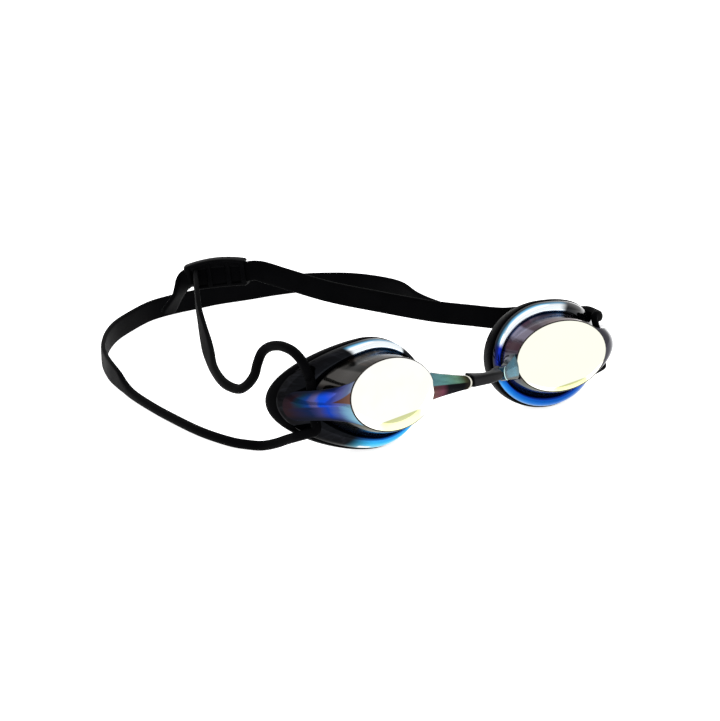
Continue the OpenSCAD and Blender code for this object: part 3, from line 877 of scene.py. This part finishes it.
REAR = [
    [73.4, 90, 1.65, C, C, 0], [69.8, 101, 1.8, C + 0.4, 2.8, 0], [65.8, 111, 2.1, 3.9, 2.5, 0],
    [62.8, 121, 2.5, 4.7, 2.2, 0], [61.1, 130, 2.95, 5.7, T, 0], [60.4, 140, 3.85, W, T, 0],
    [57.4, 151.6, 3.8, W - 0.1, T, 0], [51.6, 161.6, 3.7, W - 0.3, T, 0],
    [44.4, 167.4, 3.7, W - 0.3, T, 0], [36, 171.8, 3.7, W - 0.3, T, 0],
    [24, 174.3, 3.7, W - 0.3, T, 0], [12, 175.2, 3.75, W - 0.2, T, 0], [0, 176.6, 3.85, W, T, 0],
    [-10, 176.2, 3.85, W, T, 0], [-22, 175.4, 3.85, W, T, 0], [-32.5, 172.6, 3.85, W, T, 0],
    [-44.3, 165.2, 3.85, W, T, 0], [-53.1, 158.4, 3.85, W, T, 0], [-60.3, 150.3, 3.85, W, T, 0],
    [-65.9, 141.8, 3.85, W, T, 0], [-70.1, 133.8, 3.85, W, T, 0], [-73.1, 125.2, 3.85, W, T, 0],
    [-75.2, 117, 3.85, W, T, 0], [-76.3, 109.5, 3.5, 6.8, T, 0], [-76.9, 103, 2.5, 4.8, 2.3, 0],
    [-77.4, 95.5, 1.8, C + 0.4, 2.8, 0], [-77.5, 83, 1.65, C, C, 0],
]
RIGHT_SIDE = [
    [-77, 69.3, 1.65, C, C, 0], [-75.3, 51.2, 1.65, C, C, 0], [-71.8, 37.6, 1.65, C, C, 0],
    [-68.2, 31.4, 1.65, C, C, 0], [-65.2, 27.6, 1.9, C, C, 0], [-63.2, 22.6, 3.8, C, C, 0],
    [-61.8, 17.3, 6.5, C, C, 0], [-60.6, 12.4, 8.8, C, C, 0], [-58.2, 9.2, 10.4, C, 2.8, 0],
    *slot_rows(RIGHT, -8, -4, 0, 4, 8), [-57.1, 11.6, 29, C, 2.8, 0], [-58.4, 12.4, 32.9, C, C, 0],
    [-59, 16.2, 35.1, C, C, 0], [-59.4, 20.6, 35.6, C, C, 0], [-59.7, 25.2, 35.1, C, C, 0],
    [-60.3, 30, 33.5, C, C, 0], [-61.2, 33.2, 30.9, C, C, 0], [-62.2, 34.6, 27, C, C, 0],
    [-62.6, 36.3, 22.6, C, C, 0], [-63.5, 39.8, 18.5, C, C, 0], [-64.2, 44.7, 15.9, C, C, 0],
]
SLACK = [
    [-64.2, 53.8, 15.3, C + 0.3, C - 0.2, 0], [-61.4, 65.8, 16, 3.9, 2.6, 10],
    [-57.5, 76.4, 17.8, 5.2, 2.2, 24], [-53, 88.4, 20.6, 6.4, T, 12],
    [-48.9, 98.9, 24.1, 6.9, T, 0], [-45.3, 107, 26.6, 6.9, T, 0], [-41.5, 114.6, 28.2, 6.8, T, 0],
    [-37.4, 123, 29, 6.6, T, 0], [-35.5, 125.7, 29.05, 6.4, T - 0.2, 0],
]
STEPS, SIDES = 7, 24
# UPRIGHT_PULL turns a section upright where the level share of its way is over STEEP.
# SQUARENESS fills out the corners of a flat section, which would be an ellipse without it.
STEEP, UPRIGHT_PULL, SQUARENESS = 0.2, 0.35, 0.62


def strap_rings(rows):
    """Cross-sections along the whole strap.

    They stand upright where it runs level, and carry on as they were where it climbs.
    """
    places = rows[:, :3]
    ways = np.gradient(places, axis=0)
    ways /= np.linalg.norm(ways, axis=1)[:, None]
    side = np.cross(ways[0], (0, 0, 1))
    side /= np.linalg.norm(side)
    rings = []
    for row, place, way in zip(rows, places, ways):
        side = side - way * (side @ way)
        side /= np.linalg.norm(side)
        level = np.cross(way, (0, 0, 1))
        size = np.linalg.norm(level)
        if size > STEEP:
            level = level / size * (1 if level @ side > 0 else -1)
            share = min(1, max(0, (size - STEEP) / 0.5)) * UPRIGHT_PULL
            side = side * (1 - share) + level * share
            side /= np.linalg.norm(side)
        rise = np.cross(side, way)
        lean = radians(row[5])
        across = rise * cos(lean) + side * sin(lean)
        through = np.cross(across, way)
        flat = min(1, max(0, (row[3] / row[4] - 1) / 2))
        power = 1 - SQUARENESS * flat
        for i in range(SIDES):
            t = 2 * pi * (i + 0.5) / SIDES
            c, s = cos(t), sin(t)
            rings.append(
                place
                + across * row[3] / 2 * np.sign(c) * abs(c) ** power
                + through * row[4] / 2 * np.sign(s) * abs(s) ** power
            )
    return rings


parts = [TAIL_AND_UPPER, LEFT_SIDE, REAR, RIGHT_SIDE, SLACK]
whole = smooth_rows([row for part in parts for row in part], STEPS)
all_rings = strap_rings(whole)
cuts = np.cumsum([len(part) for part in parts])[:-1]
cuts = [0, *[int(c) * STEPS - STEPS for c in cuts], len(whole) - 1]


def strap_piece(name, index, replaced, ends=()):
    """One of the strap's lengths. ends names those that are closed by a face."""
    first, last = cuts[index], cuts[index + 1]
    points = all_rings[first * SIDES : (last + 1) * SIDES]
    count = last - first + 1
    faces = quads(count, SIDES)
    if "start" in ends:
        faces.append(tuple(range(SIDES))[::-1])
    if "end" in ends:
        faces.append(tuple(range((count - 1) * SIDES, count * SIDES)))
    obj = make(name, points, [f[::-1] for f in faces], [STRAP], sharp=60)
    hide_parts(*replaced)
    return obj


upper = strap_piece("strap_upper_and_tail", 0, ["strap_upper_band"], ends=("start",))
left_run = strap_piece(
    "strap_left_side", 1,
    ["strap_upper_cord_left", "strap_slot_loop_left", "strap_lower_cord_left"],
)
rear = strap_piece("strap_rear", 2, ["strap_lower_band"])
right_run = strap_piece(
    "strap_right_side", 3, ["strap_lower_cord_right", "strap_slot_loop_right", "strap_slack_cord"],
)
slack = strap_piece("strap_slack", 4, ["strap_slack_band"], ends=("end",))
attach(upper, ROOT)
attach(rear, ROOT)
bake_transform(left_run)
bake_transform(right_run)
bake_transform(slack)

# ---- Back clip: a bowed ladder ----

BOW, CLIP_AROUND = 60.0, 16
CLIP_SPIN = Matrix.Rotation(CLIP_TURN, 4, "Z") @ Matrix.Rotation(-CLIP_RISE, 4, "Y")


def clip_point(along, out, rise):
    """along the strap, out from the head, and up, round the clip's bow."""
    turn = along / BOW
    x, y = (BOW + out) * sin(turn), (BOW + out) * cos(turn) - BOW + 1.0
    return CLIP_MIDDLE + CLIP_SPIN @ Vector((x, y, rise))


def clip_sweep(path, wide, high, power=0.55):
    """A rounded bar along a path of [along, out, rise] rows.

    wide is measured outwards, and high across the path.
    """
    points = []
    for k, (a, o, r) in enumerate(path):
        before, after = path[max(k - 1, 0)], path[min(k + 1, len(path) - 1)]
        way = Vector((after[0] - before[0], 0, after[2] - before[2])).normalized()
        side = Vector((-way.z, 0, way.x))
        for i in range(CLIP_AROUND):
            t = 2 * pi * (i + 0.5) / CLIP_AROUND
            c, s = cos(t), sin(t)
            c, s = (1 if c > 0 else -1) * abs(c) ** power, (1 if s > 0 else -1) * abs(s) ** power
            shrink = 0.8 if k in (0, len(path) - 1) else 1.0
            across, out = s * high / 2 * shrink, c * wide / 2 * shrink
            points.append(clip_point(a + side.x * across, o + out, r + side.z * across))
    faces = quads(len(path), CLIP_AROUND)
    faces += [
        tuple(range(CLIP_AROUND))[::-1],
        tuple(range((len(path) - 1) * CLIP_AROUND, len(path) * CLIP_AROUND)),
    ]
    return points, faces


def join(pieces):
    """The points and faces of several sweeps as one list each."""
    points, faces = [], []
    for p, f in pieces:
        faces += [tuple(i + len(points) for i in face) for face in f]
        points += p
    return points, faces


SPAN = np.linspace(-10.7, 11.4, 29)
BAR = np.linspace(-4.2, 4.2, 9)


def crest(a):
    """The arch of the upper rail: 1 at its crest, 0 at its ends."""
    return 1.0 - ((a - 0.6) / 11.4) ** 2


rails = [
    clip_sweep([(a, 0, 3.75 + 1.4 * crest(a)) for a in SPAN], 4.6, 1.3),
    clip_sweep([(a, -1.7, 3.3 + 0.6 * crest(a)) for a in SPAN[2:-2]], 0.9, 2.2),
    clip_sweep([(a, 0, -4.05) for a in SPAN[3:]], 4.6, 1.25),
]
bars = []
for place in (-2.4, 4.8, 10.4):
    bars.append(clip_sweep([(place, -2, z) for z in BAR], 0.9, 1.9))
bars.append(clip_sweep([(-9.7, -1.9, z) for z in np.linspace(-2, 3.8, 7)], 0.9, 1.7))
for place in (-6.0, 1.0, 7.8):
    bars.append(clip_sweep([(place, 2, z) for z in BAR], 0.9, 1.9))
lump = clip_sweep([(-10.4, 0, z) for z in np.linspace(1.6, 4.0, 6)], 4.2, 1.9, 0.8)
clip_points, clip_faces = join(rails + bars + [lump])
clip_obj = make("back_clip_ladder", clip_points, clip_faces, [CLIP_PLASTIC], sharp=55)
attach(clip_obj, CLIP)
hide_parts("back_clip")

# ---- Floor and light ----


def stage_floor():
    look = Look("floor_paper")
    cloud = look.noise(3.0, 3.0, 0.5)
    paper = look.mix(look.remap(cloud, *NOISE), (0.9, 0.9, 0.9, 1), (0.92, 0.92, 0.92, 1))
    look.set(Base_Color=paper, Roughness=0.8, Specular_IOR_Level=0.1)
    look.set(Emission_Color=(1, 1, 1, 1), Emission_Strength=0.85)
    mesh = bpy.data.meshes.new("floor")
    mesh.from_pydata([(-4, -4, 0), (4, -4, 0), (4, 4, 0), (-4, 4, 0)], [], [(0, 1, 2, 3)])
    mesh.materials.append(look.material)
    obj = bpy.data.objects.new("floor", mesh)
    bpy.context.scene.collection.objects.link(obj)


def softbox(name, place, target, wide, high, power):
    """A rectangular area light at place, in metres, that faces target."""
    data = bpy.data.lights.new(name, "AREA")
    data.shape = "RECTANGLE"
    data.size, data.size_y, data.energy = wide, high, power
    obj = bpy.data.objects.new(name, data)
    way = Vector(target) - Vector(place)
    obj.matrix_world = Matrix.Translation(place) @ way.to_track_quat("-Z", "Y").to_matrix().to_4x4()
    bpy.context.scene.collection.objects.link(obj)


stage_floor()
softbox("top", (0.1, 0.15, 1.3), (0, 0, 0), 1.5, 1.5, 4)
softbox("front", (0.75, -1.1, 0.42), (0, -0.05, 0.02), 1.6, 0.9, 0.4)
softbox("left", (-1.1, 0.1, 0.7), (0, 0, 0.02), 0.9, 0.9, 2.5)
world = bpy.data.worlds.new("studio")
world.use_nodes = True
world.node_tree.nodes["Background"].inputs[0].default_value = (1, 1, 1, 1)
world.node_tree.nodes["Background"].inputs[1].default_value = 0.95
bpy.context.scene.world = world
bpy.context.scene.view_settings.view_transform = "Standard"
